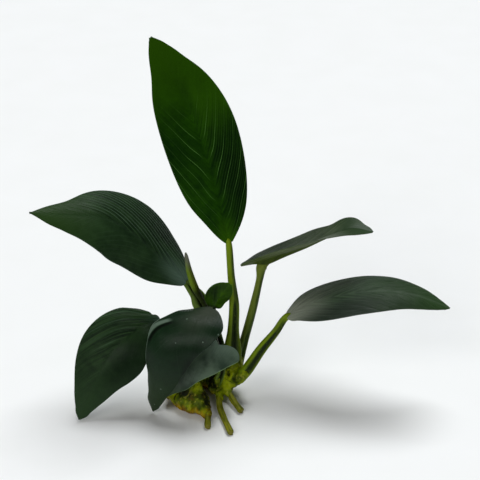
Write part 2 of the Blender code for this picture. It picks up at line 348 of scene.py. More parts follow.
def rhizome_skin():
    """Yellow-green skin with painted highlight on the bumps and painted shade in the hollows, dark in the
    scars, thin pale streaks that are partly root hairs and partly painted highlight, orange and brown low
    on the old front branch, with a moist gloss."""
    finish, shader, start = new_finish("rhizome skin", 0.12)
    place = start.place()
    scar, tone_and_shade, brown = (start.kept(name, "Fac") for name in ("scar", "tone_and_shade", "brown"))
    height = place.part("Z") / MM
    fleck = place.cloud(600, 4)
    streak = place.cloud(420, 3, (1, 1, 0.35))
    skin = (tone_and_shade + place.cloud(170, 3) * 0.8 + fleck * 0.3 - 0.17).ramp([
        (0.1, shade(24, 30, 2)), (0.3, shade(60, 74, 3)), (0.5, shade(104, 120, 5)),
        (0.8, shade(156, 170, 18)),
    ])
    low = ((5.4 - height) / 5 + streak * 1.2 - 0.55).rise(0.15, 0.75)
    old = low * (1 - (place.part("X") / MM).rise(3, 7))
    amber = streak.rise(0.4, 0.6).blend(shade(112, 60, 4), shade(164, 130, 12))
    aged = (old * 0.85).blend(skin, amber)
    rust = streak.rise(0.42, 0.62).blend(shade(36, 26, 6), shade(88, 76, 20))
    browned = (brown + fleck * 1.6 - 0.9).rise(0.2, 0.7).blend(aged, rust)
    decay = (place.cloud(260, 4) - tone_and_shade * 0.12 + scar * 0.12).rise(0.6, 0.72)
    dark = (decay * 0.6).blend(browned, shade(40, 34, 6))
    ringed = (scar * (0.3 + fleck)).rise(0.4, 0.95).blend(dark, shade(34, 32, 12))
    # Thin pale streaks, partly root hairs and partly painted highlight.
    hair_and_glint_streaks = place.cloud(900, 4, (1, 1, 0.3))
    hair_and_glint_streaked = (hair_and_glint_streaks.rise(0.56, 0.66) * 0.45).blend(ringed, shade(172, 170, 60))
    wrinkle = place.cloud(1100, 5) * 0.5 + fleck + hair_and_glint_streaks * 0.6 - scar * 0.3
    dress(shader, hair_and_glint_streaked, 0.34 + fleck * 0.3, wrinkle.relief(0.0005, 0.6))
    return finish


def leaf_scars():
    """Finds places along the middle of the stem, each with its direction and its count of scars."""
    tree = kdtree.KDTree(len(RHIZOME_PIECES) * (SCAR_STEPS + 1))
    middles = []
    for piece in RHIZOME_PIECES:
        line = curve(piece["line"])
        for i in range(SCAR_STEPS + 1):
            share = i / SCAR_STEPS
            tree.insert(along(line, share), len(middles))
            middles.append((heading(line, share), share * piece["rings"], piece["rings"] / piece["length"]))
    tree.balance()
    return tree, middles


scar_tree, scar_middles = leaf_scars()


def scar_at(point):
    """How near a point of the skin is to the groove of a leaf scar, 0 to 1."""
    place, i, gap = scar_tree.find(point)
    direction, count, pitch = scar_middles[i]
    count += (point - place).dot(direction) * pitch + noise.noise(point * 0.12)
    groove = max(0, -math.sin(count * math.tau)) ** 4
    return groove * max(0, min(1, 0.6 + noise.noise(point * 0.2 + Vector((9, 0, 0))) * 1.6))


def ringed_rod(piece):
    """One length of the stem, with a ridge between leaf scars at every ring and rounded ends."""
    rings = piece["rings"]

    def shape(share, angle):
        scars = SCAR_HEIGHT * math.sin(share * rings * math.tau)
        lumps = 0.05 * math.sin(2 * angle + 9 * share) + 0.03 * math.sin(3 * angle - 14 * share)
        closing = max(0, abs(share - 0.5) - 0.5 + END_ROUNDING) / END_ROUNDING
        return (1 + scars + lumps) * math.sqrt(1.04 - closing ** 2)

    sizes = [(radius, radius) for radius in piece["radii"]]
    return grow_rod(piece["line"], sizes, RHIZOME_SIDES, RHIZOME_RINGS, RHIZOME_FRONT, shape)


def plain_rod(share, angle):
    return 1


def rhizome_lumps():
    """The stem's rods, its swellings and its buds, each a closed mesh."""
    lumps = [ringed_rod(piece) for piece in RHIZOME_PIECES]
    for swelling in SWELLINGS.values():
        line = [place for place, radius in swelling]
        sizes = [(radius, radius) for place, radius in swelling]
        lumps.append(grow_rod(line, sizes, RHIZOME_SIDES, SWELLING_RINGS, RHIZOME_FRONT, plain_rod))
    for place, radius in BUDS:
        bud = bmesh.new()
        bmesh.ops.create_icosphere(bud, subdivisions=3, radius=radius)
        bmesh.ops.translate(bud, vec=place, verts=bud.verts)
        lumps.append(bud)
    return lumps


def one_skin(lumps):
    """Grows a single even skin round lumps that overlap, without their grain, and softens it."""
    mould_mesh = bpy.data.meshes.new("rhizome_mould")
    together = bmesh.new()
    for lump in lumps:
        lump.to_mesh(mould_mesh)
        together.from_mesh(mould_mesh)
        lump.free()
    together.to_mesh(mould_mesh)
    together.free()
    mould = add_object("rhizome_mould", mould_mesh)
    remesh = mould.modifiers.new("one skin", "REMESH")
    remesh.mode = "VOXEL"
    remesh.voxel_size = RHIZOME_GRAIN
    skin = bmesh.new()
    skin.from_object(mould, bpy.context.evaluated_depsgraph_get())
    bpy.data.objects.remove(mould)
    for layer in list(skin.verts.layers.float_vector.values()):
        skin.verts.layers.float_vector.remove(layer)
    for i in range(RHIZOME_SOFTENING):
        bmesh.ops.smooth_vert(
            skin, verts=skin.verts, factor=0.5, use_axis_x=True, use_axis_y=True, use_axis_z=True
        )
    skin.normal_update()
    return skin


def patches(point, spots):
    """How much all the spots together change the skin at a point."""
    return sum(amount * bell((point - Vector(place)).length, radius) for place, radius, amount in spots)


rhizome_mesh = one_skin(rhizome_lumps())
scar_layer, tone_and_shade_layer, brown_layer = (
    rhizome_mesh.verts.layers.float.new(name) for name in ("scar", "tone_and_shade", "brown")
)
for vert in rhizome_mesh.verts:
    scar = scar_at(vert.co)
    off_scar = (vert.co - ROUND_SCAR).length
    dimple = bell(off_scar, ROUND_SCAR_RADIUS)
    rim = bell(off_scar - ROUND_SCAR_RADIUS * 1.6, ROUND_SCAR_RADIUS * 0.4)
    lump = sum(noise.noise(vert.co * closeness) * strength for closeness, strength in LUMPS)
    vert[scar_layer] = min(1, scar + dimple * 1.4)
    # The tone is painted lighter where the lumps stand out and darker in the hollows: painted highlight and
    # painted shade.
    vert[tone_and_shade_layer] = 0.1 + lump * 0.45 + rim * 0.3 + patches(vert.co, LIGHT_AND_DARK)
    vert[brown_layer] = patches(vert.co, BROWNED)
    relief = lump * SKIN_LUMP - scar * SCAR_DEPTH + (rim * 0.5 - dimple) * ROUND_SCAR_DEPTH
    vert.co += vert.normal * relief * min(1, 0.2 + vert.co.z / 3)
    vert.co.z = max(vert.co.z, 0)
add_piece("rhizome_skin", rhizome_mesh, [rhizome_skin()], ["rhizome"])

# The roots are thick soft strands of olive green that grow out of the rhizome's side, widest there,
# and brown where they are oldest. All were trimmed short, so each ends in a flat pale cut.
ROOT_SIDES = 24
ROOT_RINGS = 60
ROOT_RADIUS = 1.3
ROOT_FLARE = 0.15
ROOT_CUT_START = 0.975
ROOT_CUT_SHARE = 0.025
ROOTS = {
    "front": [
        (8.4, -8.4, 3.9), (7.6, -10.2, 3.4), (7.6, -18.6, 2.4), (9.8, -27.2, 1.45), (12.4, -35.8, 1.25),
    ],
    "middle": [(2.2, -21, 3.2), (2.7, -22.8, 2.7), (2.9, -27, 1.55), (3.1, -31.9, 1.25)],
    "right": [(10, -8.6, 5.6), (11, -11.2, 4.4), (13.6, -16.4, 2.6), (16.6, -21.3, 1.25)],
    "back": [(0.6, 4.8, 3.5), (1, 6.4, 3), (1.4, 13, 1.6), (2, 23, 1.25)],
    "back_left": [(-9.6, 6, 3.4), (-10.2, 7.5, 2.9), (-11.6, 12.6, 1.6), (-14, 19, 1.25)],
}


def root_skin(length):
    """Olive skin with lengthwise fibres, brown near the rhizome, and a pale cut end."""
    finish, shader, start = new_finish("root skin", 0.15)
    place = start.place()
    grain = start.kept("grain", "Vector")
    distance = grain.part("Z")
    fibre = grain.cloud(2.2, 4, (1, 1, 0.12))
    blotch = place.cloud(260, 4)
    skin = fibre.rise(0.3, 0.7).blend(shade(74, 80, 12), shade(132, 132, 34))
    old = ((5 - distance) / 6 + blotch).rise(0.5, 1.1)
    aged = (old * 0.75).blend(skin, shade(58, 48, 14))
    spotted = (blotch.rise(0.56, 0.7) * 0.6).blend(aged, shade(84, 74, 22))
    cut = distance.rise(length - 0.25, length - 0.05).blend(spotted, shade(122, 118, 44))
    dress(shader, cut, 0.4 + fibre * 0.25, (fibre + blotch * 0.5).relief(0.0003, 0.6))
    return finish


for name, line in ROOTS.items():
    seed = len(name) * 1.7

    def wobble(share, angle):
        flare = 1 + ROOT_FLARE * bell(share, 0.2)
        wave = 0.05 * math.sin(share * 19 + seed) + 0.03 * math.sin(3 * angle + share * 11 + seed)
        closing = max(0, share - ROOT_CUT_START) / ROOT_CUT_SHARE
        return (flare + wave) * (1 - 0.22 * closing * closing)

    sizes = [(ROOT_RADIUS, ROOT_RADIUS)] * len(line)
    root = grow_rod(line, sizes, ROOT_SIDES, ROOT_RINGS, (0, 0, 1), wobble)
    for vert in root.verts:
        vert.co.z = max(vert.co.z, 0)
    add_piece("trimmed_root_" + name, root, [root_skin(rod_length(root))], ["root_" + name])

# The leaf stalks are crisp green rods that grow out of the crown. Each wraps the crown at its foot in
# two thin wings with a channel between them, and thickens again into the joint that turns its leaf.
STALK_SIDES = 36
STALK_RINGS = 100
STALK_FRONT = (0, -1, 0.2)
FRESH_GREENS = (shade(24, 38, 2), shade(64, 84, 4), shade(118, 142, 16))
OLIVE_GREENS = (shade(24, 38, 3), shade(62, 82, 14), shade(110, 124, 46))
PALE_GREENS = (shade(14, 22, 4), shade(52, 70, 20), shade(108, 134, 56))
WING_SWELL = 0.16
FIBRE_SWELL = 0.02
JOINT_REACH = 0.045
# A stalk's greens are (deep, middle, pale), and its foot is the share of it that has the crown's fresh
# green, and that green. Deep is painted shade on the side away from the light and in the channel. Its
# channel opens towards its angle, counted from the right of the plant to the front, and light is the angle
# of the side that is painted paler, as if lit. Its joint is (share of the length, how much wider).
USUAL_STALK = dict(
    channel=dict(angle=1.6, depth=0.4, width=0.4, top=0.3), light=2.4, greens=FRESH_GREENS,
    foot=(0.22, shade(112, 134, 12)),
)
STALKS = {
    "tall": dict(
        line=[
            (12.6, -5.8, 8), (12.7, -5.8, 20), (13.1, -4.7, 30), (13.5, -3.2, 42), (12.4, -1, 54),
            (11.6, 1, 66.6), (10.9, 2.2, 70),
        ],
        sizes=[(2.8, 2.6), (3.5, 2.4), (2.3, 2), (1.95, 1.8), (1.5, 1.4), (1.3, 1.2), (0.5, 0.4)],
        channel=dict(angle=1.3, depth=0.55, width=0.5, top=0.5),
        joint=(0.93, 0.08), light=2.1,
    ),
    "left": dict(
        line=[
            (9.6, 0, 8), (6.2, 0.7, 23), (3.2, -0.2, 35), (0.3, -1, 40.4), (-1.6, -1.4, 45),
            (-4.4, -2, 49.4), (-7.4, -1.6, 53.4),
        ],
        sizes=[(2.7, 2.2), (2.4, 2.1), (3, 1.9), (3.7, 2.1), (2.8, 1.9), (1.8, 1.6), (0.9, 0.7)],
        channel=dict(angle=1.4, depth=0.85, width=0.5, top=0.84),
        joint=(0.93, 0.2), light=2.6, greens=PALE_GREENS,
    ),
    "low_left": dict(
        line=[(-7, 0.9, 7), (-10.2, -0.4, 20.5), (-14, -2, 29.6), (-16, -3.6, 32.8), (-18.4, -6.2, 33.2)],
        sizes=[(2.1, 1.9), (1.7, 1.6), (1.5, 1.4), (1.3, 1.1), (0.6, 0.5)],
        joint=(0.8, 0.15),
    ),
    "front": dict(
        line=[
            (5.6, -6.9, 7), (3.3, -6.5, 18), (2, -6.8, 28), (2.9, -9, 37), (4.9, -12.4, 43.2),
            (2.8, -15.8, 43.8),
        ],
        sizes=[(2.1, 1.8), (1.8, 1.6), (1.7, 1.5), (1.6, 1.5), (1.4, 1.2), (0.7, 0.6)],
        joint=(0.84, 0.15), greens=OLIVE_GREENS,
    ),
    "under": dict(
        line=[(5.2, -10.2, 5), (8.1, -12.5, 13.6), (8.8, -13.4, 20), (7.4, -14, 26), (4.6, -15.7, 26.6)],
        sizes=[(2, 1.8), (1.6, 1.5), (1.5, 1.4), (1.3, 1.2), (0.7, 0.6)],
        channel=dict(angle=1.5, depth=0.6, width=0.45, top=0.9),
        joint=(0.8, 0.1), greens=PALE_GREENS,
    ),
    "small": dict(
        line=[(9.8, -4, 11.4), (5.9, -4.9, 25), (5.5, -6.2, 36), (5.6, -6.7, 41.6), (6.4, -6.5, 44)],
        sizes=[(1.2, 1.1), (1.1, 1), (0.9, 0.8), (0.7, 0.6), (0.4, 0.3)],
        channel=dict(angle=1.6, depth=0.3, width=0.4, top=0.3),
        joint=(1.2, 0), light=4.7, greens=OLIVE_GREENS,
    ),
    "upper_right": dict(
        line=[
            (14.4, -3.8, 9.6), (16.1, -2.3, 16.4), (17.9, -0.9, 23.4), (21.1, 1, 36.1), (23.9, 4, 48.6),
            (24.8, 4.9, 54.4), (27.4, 5.3, 56.1),
        ],
        sizes=[(2.4, 2), (2, 1.9), (1.8, 1.7), (1.7, 1.6), (1.45, 1.4), (2.1, 1.5), (0.9, 0.5)],
        channel=dict(angle=1.2, depth=0.25, width=0.35, top=0.3),
        joint=(0.9, 0.3), light=2.2, greens=OLIVE_GREENS, foot=(0.8, shade(62, 88, 6)),
    ),
    "right": dict(
        line=[
            (15.4, -10.4, 10), (19.2, -11, 15.4), (24.6, -9, 23.4), (30.4, -7, 30.6), (34.1, -5.2, 35.8),
            (37.4, -5.1, 38.2),
        ],
        sizes=[(2.5, 2.2), (2.4, 2.1), (2.1, 1.9), (1.65, 1.5), (1.45, 1.3), (0.7, 0.6)],
        channel=dict(angle=1.5, depth=0.4, width=0.42, top=0.66),
        joint=(0.88, 0.2), light=2.9,
    ),
}


def channel_at(stalk, share, angle):
    """How deep a point lies in the channel, and how far out on the wings beside it, 0 to 1 each."""
    channel = stalk["channel"]
    width = channel["width"]
    turn = abs((angle - channel["angle"] + math.pi) % math.tau - math.pi)
    fade = 1 - min(1, max(0, (share - channel["top"]) / 0.1))
    return bell(turn, width) * fade, bell(turn - 2 * width, width * 0.5) * fade


def stalk_skin(name, stalk, length):
    """Green skin with fine lengthwise fibres, painted shade in the channel between pale wings, one side
    painted lighter as if lit and the other darker, and a pale joint under the leaf, partly its own colour
    and partly painted light where its leaf shades it."""
    finish, shader, start = new_finish("stalk skin " + name, 0.14)
    place = start.place()
    grain = start.kept("grain", "Vector")
    channel = start.kept("channel", "Vector")
    deep, middle, pale = stalk["greens"]
    # Painted light: the side towards the light angle is paler, and the far side darker.
    facing = grain.part("X") * math.cos(stalk["light"]) + grain.part("Y") * math.sin(stalk["light"])
    share = grain.part("Z") / length
    fibre = grain.cloud(3.5, 4, (1, 1, 0.05))
    speckle = place.cloud(1300, 3)
    skin = (facing * 0.5 + fibre - 0.5).rise(-0.5, 0.4).blend(deep, middle)
    lit_side_striped = ((facing + (fibre - 0.5) * 0.8).rise(0.35, 0.95) * 0.85).blend(skin, pale)
    # Painted shade in the channel.
    sunk = (channel.part("X").rise(0.1, 0.6) * 0.92).blend(lit_side_striped, deep)
    winged = (channel.part("Y") * 0.8).blend(sunk, pale)
    freckled = (speckle.rise(0.58, 0.72) * 0.3).blend(winged, pale)
    # The joint is paler, partly its own colour and partly painted light where its leaf shades it.
    jointed = (share.rise(stalk["joint"][0] - 0.06, stalk["joint"][0] + 0.04) * 0.7).blend(freckled, pale)
    foot_reach, foot_green = stalk["foot"]
    fresh = ((1 - share / foot_reach).rise(0, 1) * 0.75).blend(jointed, foot_green)
    old = (1 - share / 0.2).rise(0, 1) * place.cloud(300, 3).rise(0.5, 0.62)
    browned = (old * 0.7).blend(fresh, shade(44, 40, 8))
    dress(shader, browned, 0.36 + fibre * 0.25, (fibre + speckle * 0.2).relief(0.0003, 0.5))
    return finish


for name, own in STALKS.items():
    stalk = USUAL_STALK | own
    joint_share, joint_swell = stalk["joint"]

    def winged(share, angle):
        hollow, wing = channel_at(stalk, share, angle)
        ridge = FIBRE_SWELL * math.sin(7 * angle + 3 * share)
        joint = joint_swell * bell(share - joint_share, JOINT_REACH)
        return 1 + WING_SWELL * wing + ridge + joint - stalk["channel"]["depth"] * hollow

    rod = grow_rod(stalk["line"], stalk["sizes"], STALK_SIDES, STALK_RINGS, STALK_FRONT, winged)
    channel_layer = rod.verts.layers.float_vector.new("channel")
    grain_layer = rod.verts.layers.float_vector["grain"]
    length = rod_length(rod)
    for vert in rod.verts:
        x, y, distance = vert[grain_layer]
        vert[channel_layer] = (*channel_at(stalk, distance / length, math.atan2(y, x)), 0)
    finishes = [stalk_skin(name, stalk, length)]
    add_piece("leaf_stalk_" + name, rod, finishes, ["stalk_" + name])

# The leaf blades are leathery plates, thin at the margin and carried by a stout midrib that stands out
# below. Fine side veins leave it at a sharp angle, sunk a little into the glossy dark upper side, and
# stand out on the paler, matt underside. Each grew out of the joint at the end of its stalk.
BLADE_COLUMNS = 72
BLADE_ROWS = 190
ROW_EVENNESS = 0.3
MIDRIB_STEPS = 200
TIP_SHARE = 0.997
SKIN_ABOVE_MIDDLE = 0.3
THICKEST = 2.6
MARGIN_THICKNESS = 0.3
MIDDLE_THICKNESS = 0.5
MARGIN_WAVE = 0.3
MIDRIB_WIDTH = 0.95
MIDRIB_GROOVE = 0.3
VEIN_WANDER = 2
VEIN_BELOW = 0.12
KEEL_AT_STALK = 1.5
KEEL_ALONG = 0.9
KEEL_AT_TIP = 0.1
# A blade's midrib is its line, and facing is where its upper side looks on the way along it. Pairs are
# for its left and its right half, seen from the stalk, but fold, which lifts the halves, and vein_depth
# are for the stalk's end and the tip. The halves widen from start as powers of the way to either end,
# the corner of the base is rounded, lobes reach back past the stalk, and the margins hang. A fuller
# place is (side, share of the length, how much wider, how far it reaches).
# Veins leave the midrib every vein_gap, with a number of minor ones to each, and fade out at vein_end.
# vein_show and fine_show are how plain they and the fine streaks are, and rim how pale the margin is.
# far is the green of the tip. By the stalk a colour is laid on that is a painted sheen on most leaves and a
# plain green on the tall, small and upper right ones; it reaches a share along and a distance across.
# A tint is (side, colour, how much, from, to, share of the length, how far it reaches), growing between two
# distances off the midrib; some tints are the leaf's own tone and some are painted shade and painted light,
# as marked at each leaf. A curl is (side, share, reach, how far the margin turns down there), and is
# painted with a dark line of painted shade inside it and a pale strip of painted highlight along its edge.
USUAL_BLADE = dict(
    slot="dark_blade", fold=(0, 0), vein_slopes=(1.8, 1.8), vein_arch=0.05, vein_width=0.5,
    vein_line=0.07, minor=4, vein_end=1.2, midrib_show=0, rim=(0.2, 0.2), specks=0,
    sheen_by_stalk_reach=(0.16, 6), tints=[], curls=[],
)
BLADES = {
    "tall": dict(
        slot="tall_blade",
        midrib=[(11.6, 1, 67.6), (7.7, 4, 85.7), (1.2, 8, 108.3), (-8.6, 14, 131.9), (-18.4, 19, 148.2)],
        facing=[(0.1, -0.95, 0.3), (0, -0.9, 0.4), (0.1, -0.9, 0.4)],
        half_widths=(14.6, 14.2), base=0.88, tip=0.92, start=0.012, corner=0.012, lobe=(0, 0),
        fold=(0.1, 0.05), hang=(0.05, 0.05),
        fuller=[
            (1, 0.62, 0.12, 0.17), (1, 0.84, -0.1, 0.07), (1, 0.97, 0.15, 0.03), (-1, 0.84, -0.12, 0.1),
            (-1, 0.12, -0.09, 0.1),
        ],
        vein_gap=8.5, vein_slopes=(1.75, 1.6), vein_arch=0.035, vein_depth=(0.13, 0.06), vein_width=0.4,
        vein_line=0.085, vein_show=(1.5, 1.5), fine_show=(0.1, 0.8), vein_end=0.75,
        patchy=0.35, gloss=0.03, rough=0.5,
        dark=shade(12, 38, 0), light=shade(38, 76, 0), far=shade(42, 74, 0), vein=shade(80, 122, 58),
        tone_and_sheen_by_stalk=shade(48, 84, 2), under=shade(44, 78, 10),
        tints=[
            # The first tint on the next line is painted shade on the right half; the second is a lighter
            # patch of the leaf's own.
            (1, shade(8, 28, 0), 0.9, -3, 8, 0.3, 0.5), (1, shade(48, 86, 0), 0.5, 1, 5, 0.66, 0.2),
            (-1, shade(12, 38, 0), 0.5, -1, 3, 0.45, 0.3),
        ],
    ),
    "left": dict(
        midrib=[
            (-5.8, -3, 52.6), (-15.5, -2, 62.2), (-26.5, -2.5, 74.2), (-37.5, -4.5, 82), (-51, -8, 85.4),
            (-65.1, -11, 88),
        ],
        facing=[(0.4, -0.65, 0.65), (0.2, -0.6, 0.75), (-0.1, -0.6, 0.8)],
        half_widths=(13.4, 15.4), base=0.81, tip=1.08, start=0.02, corner=0.02, lobe=(1, 1),
        fold=(0.05, 0.05), hang=(0.15, 0.35),
        fuller=[
            (-1, 0.5, 0.11, 0.14), (-1, 0.67, 0.12, 0.08), (-1, 0.92, 0.14, 0.06), (-1, 0.07, -0.09, 0.08),
            (1, 0.36, 0.04, 0.12), (1, 0.82, -0.16, 0.1),
        ],
        vein_gap=5, vein_slopes=(2.2, 3.4), vein_arch=0.03, vein_depth=(0.04, 0.03), vein_line=0.1,
        minor=1, vein_show=(0.05, 0.4), fine_show=(0.15, 1.9), vein_end=0.8, midrib_show=0.03,
        patchy=0.3, gloss=0.1, rough=0.4,
        dark=shade(18, 34, 19), light=shade(42, 63, 37), far=shade(42, 64, 28), vein=shade(100, 124, 104),
        tone_and_sheen_by_stalk=shade(76, 94, 82), sheen_by_stalk_reach=(0.26, 7), under=shade(60, 84, 44),
        # Painted shade on the upper half, which tilts away from the light.
        tints=[(1, shade(11, 22, 11), 0.75, 3, 10, 0.22, 0.42)],
    ),
    "low_left": dict(
        midrib=[
            (-16.2, -4, 34.8), (-23.5, -10.5, 35.5), (-32.5, -16, 31), (-40, -20.5, 21.3),
            (-45, -23.5, 11.2), (-49, -26.5, 1),
        ],
        facing=[(-0.1, -0.25, 0.95), (-0.25, -0.8, 0.55), (-0.25, -0.95, 0.2)],
        half_widths=(12.6, 14.2), base=0.54, tip=0.9, start=0.02, corner=0.05, lobe=(0.8, 0.8),
        hang=(0.25, 0.1),
        fuller=[
            (1, 0.04, 0.17, 0.07), (1, 0.16, -0.06, 0.07), (1, 0.27, -0.03, 0.08), (1, 0.5, 0.06, 0.12),
            (1, 0.8, -0.1, 0.14), (1, 0.97, 0.3, 0.03), (-1, 0.5, 0.14, 0.14), (-1, 0.97, 0.3, 0.03),
        ],
        vein_gap=9, vein_slopes=(1.7, 1.75), vein_arch=0.02, vein_depth=(0.9, 0.05), vein_width=1,
        vein_line=0.4, minor=3, vein_show=(0.05, 1.4), fine_show=(0.1, 2), vein_end=0.62,
        rim=(0.25, 0.25), specks=0.1, patchy=0.25, gloss=0.1, rough=0.38,
        dark=shade(16, 34, 17), light=shade(46, 69, 39), far=shade(44, 65, 39), vein=shade(58, 82, 56),
        tone_and_sheen_by_stalk=shade(44, 66, 52), under=shade(60, 80, 52),
        tints=[(-1, shade(12, 30, 12), 0.8, 0, 6, 0.4, 0.5)],
    ),
    "front": dict(
        midrib=[
            (5.2, -14, 46), (-2.6, -20.4, 43.5), (-10, -25, 37.2), (-14.4, -27, 27), (-16.6, -24.5, 14),
            (-19.6, -20.4, 0.9),
        ],
        facing=[(-0.3, -0.1, 1), (-0.2, -0.85, 0.5), (-0.3, -0.9, 0)],
        half_widths=(10.4, 11), base=0.42, tip=0.85, start=0.04, corner=0.12, lobe=(1.4, 1.4),
        hang=(0.2, 0.26),
        fuller=[
            (1, 0.4, 0.17, 0.08), (1, 0.7, -0.16, 0.08), (1, 0.94, 0.45, 0.05), (-1, 0.08, 0.2, 0.08),
            (-1, 0.2, 0.12, 0.1), (-1, 0.84, -0.16, 0.08), (-1, 0.97, 0.3, 0.03),
        ],
        vein_gap=9, vein_depth=(0.14, 0.02), vein_width=0.6, minor=3, vein_show=(0.1, 0.1),
        fine_show=(0.1, 0.1), vein_end=0.7, rim=(0.1, 0.8), specks=0.8, patchy=0.3, gloss=0.12, rough=0.32,
        dark=shade(15, 32, 17), light=shade(27, 48, 29), far=shade(48, 63, 42), vein=shade(92, 108, 94),
        tone_and_sheen_by_stalk=shade(68, 74, 63), sheen_by_stalk_reach=(0.34, 9), under=shade(60, 78, 60),
        tints=[
            # The second tint on the next line is a painted shadow line along the margin that lies over the
            # under leaf.
            (-1, shade(15, 32, 17), 0.15, 3, 9, 0.3, 0.6), (-1, shade(8, 18, 10), 0.65, 6.5, 9, 0.6, 0.5),
        ],
        curls=[(1, 0.35, 0.08, 0.6)],
    ),
    "under": dict(
        midrib=[(7.2, -15, 29.7), (0.7, -18, 26.8), (-5.7, -20, 22), (-11.5, -20.5, 14.5), (-15.9, -19, 5)],
        facing=[(0.1, -0.6, 0.8), (-0.2, -0.85, 0.5), (-0.3, -0.9, 0.2)],
        half_widths=(9.6, 4.6), base=0.42, tip=1.15, start=0.1, corner=0.07, lobe=(6.9, 1),
        hang=(0.2, 0.2), fuller=[(-1, 0.03, 0.12, 0.08), (-1, 0.75, 0.34, 0.15)],
        vein_gap=7, vein_depth=(0.2, 0.08), vein_width=0.6, vein_show=(0.2, 0.2), fine_show=(0.2, 0.2),
        midrib_show=0.1, rim=(1, 1), specks=0.2, patchy=0.9, gloss=0.24, rough=0.34,
        dark=shade(34, 50, 38), light=shade(84, 102, 84), far=shade(60, 80, 52), vein=shade(110, 138, 96),
        tone_and_sheen_by_stalk=shade(98, 116, 100), sheen_by_stalk_reach=(0.3, 12), under=shade(70, 92, 60),
    ),
    "small": dict(
        slot="young_leaf",
        midrib=[(5.9, -7.4, 43), (8, -7.4, 47.8), (12, -6.9, 53.2)],
        facing=[(0.1, -0.95, 0.3), (0, -0.95, 0.3), (0, -0.95, 0.2)],
        half_widths=(5.8, 3.9), base=0.55, tip=0.5, start=0.05, corner=0.1, lobe=(0.5, 0.5),
        fold=(0.2, 0.2), hang=(0, 0), fuller=[(1, 0.35, -0.22, 0.25)],
        vein_gap=3.2, vein_slopes=(1.6, 1.6), vein_arch=0.1, vein_depth=(0.1, 0.1), vein_width=0.35,
        vein_line=0.1, minor=3, vein_show=(0.4, 0.4), fine_show=(0.4, 0.4), midrib_show=0.15,
        rim=(0.7, 0.7), patchy=0.6, gloss=0.08, rough=0.36,
        dark=shade(14, 34, 0), light=shade(56, 92, 2), far=shade(40, 68, 4), vein=shade(70, 108, 22),
        tone_and_sheen_by_stalk=shade(24, 40, 2), under=shade(70, 104, 22),
        tints=[(-1, shade(14, 34, 0), 0.3, 0, 4, 0.1, 0.9)],
    ),
    "upper_right": dict(
        midrib=[
            (24.7, 5, 56.8), (32.6, 6, 59.4), (41.9, 7, 62.6), (51.9, 8, 67), (61, 8, 70.4), (69.3, 6, 70),
        ],
        facing=[(-0.4, 0.45, 0.8), (-0.3, 0.28, 0.85), (0.1, -0.2, 1)],
        half_widths=(12, 12), base=0.45, tip=0.8, start=0.04, corner=0.03, lobe=(9.6, 9.6),
        fold=(0.3, 0.16), hang=(0, 0),
        fuller=[
            (1, 0.06, -0.2, 0.16), (-1, 0.03, -0.25, 0.05), (-1, 0.63, -0.24, 0.09), (-1, 0.91, -0.3, 0.06),
            (1, 0.85, 0.3, 0.12),
        ],
        vein_gap=8, vein_depth=(0.15, 0.1), vein_show=(0.4, 0.2), fine_show=(0.6, 0.3), rim=(0.3, 0.3),
        patchy=0.5, gloss=0.2, rough=0.42,
        dark=shade(28, 40, 24), light=shade(74, 84, 64), far=shade(36, 58, 28), vein=shade(84, 100, 68),
        tone_and_sheen_by_stalk=shade(34, 44, 20), sheen_by_stalk_reach=(0.24, 9), under=shade(70, 86, 24),
        tints=[(-1, shade(28, 40, 24), 0.7, -2, 3, 0.2, 0.5)],
    ),
    "right": dict(
        midrib=[
            (35.3, -5, 37.5), (41.4, -6, 42.3), (51, -7, 46.6), (63, -8, 50), (76, -9, 51.3),
            (88, -10, 49.3), (99.8, -11, 44.4),
        ],
        facing=[(-0.3, -0.3, 0.9), (0, -0.25, 0.97), (0.2, -0.25, 0.95)],
        half_widths=(10.8, 10.2), base=0.9, tip=0.85, start=0.03, corner=0.03, lobe=(1, 1),
        hang=(0.2, 0.2),
        fuller=[(1, 0.04, 0.15, 0.04), (1, 0.28, 0.1, 0.15), (1, 0.75, -0.06, 0.1), (-1, 0.15, 0.08, 0.15)],
        vein_gap=9, vein_slopes=(3, 3), vein_depth=(0.22, 0.12), vein_show=(1, 1), fine_show=(2.4, 2.4),
        vein_end=0.55, midrib_show=0.12, patchy=0.4, gloss=0.11, rough=0.36,
        dark=shade(38, 50, 38), light=shade(66, 82, 62), far=shade(46, 67, 38), vein=shade(100, 114, 98),
        tone_and_sheen_by_stalk=shade(150, 156, 140), sheen_by_stalk_reach=(0.34, 10), under=shade(70, 92, 56),
        tints=[
            (1, shade(24, 35, 24), 0.95, 0.5, 6, 0.3, 0.8),
            # Painted light on the far half, which faces away from the light.
            (-1, shade(104, 114, 102), 0.75, 0, 7, 0.22, 0.34),
            (1, shade(34, 52, 28), 0.55, -12, -11, 0.66, 0.24),
        ],
    ),
}


def between(pair, share):
    """The value at a share of the way from the first of a pair to the second."""
    return pair[0] + (pair[1] - pair[0]) * share


def blade_half_width(blade, share, side):
    """Half the blade's width on one side of the midrib."""
    place = blade["start"] + (TIP_SHARE - blade["start"]) * share
    widest = blade["base"] / (blade["base"] + blade["tip"])

    def swell(q):
        return q ** blade["base"] * (1 - q) ** blade["tip"]

    width = blade["half_widths"][side > 0] * swell(place) / swell(widest)
    for fuller_side, centre, amount, reach in blade["fuller"]:
        if fuller_side * side > 0:
            width *= 1 + amount * bell(share - centre, reach)
    return width


def round_corner(blade, share, side):
    """Draws the square corners at the base of the blade in, so that its two lobes are round."""
    behind = max(0, 1 - share / blade["corner"])
    side, behind = side * math.sqrt(1 - behind ** 2 / 2), behind * math.sqrt(1 - side ** 2 / 2)
    return (blade["corner"] * (1 - behind) if behind > 0 else share), side


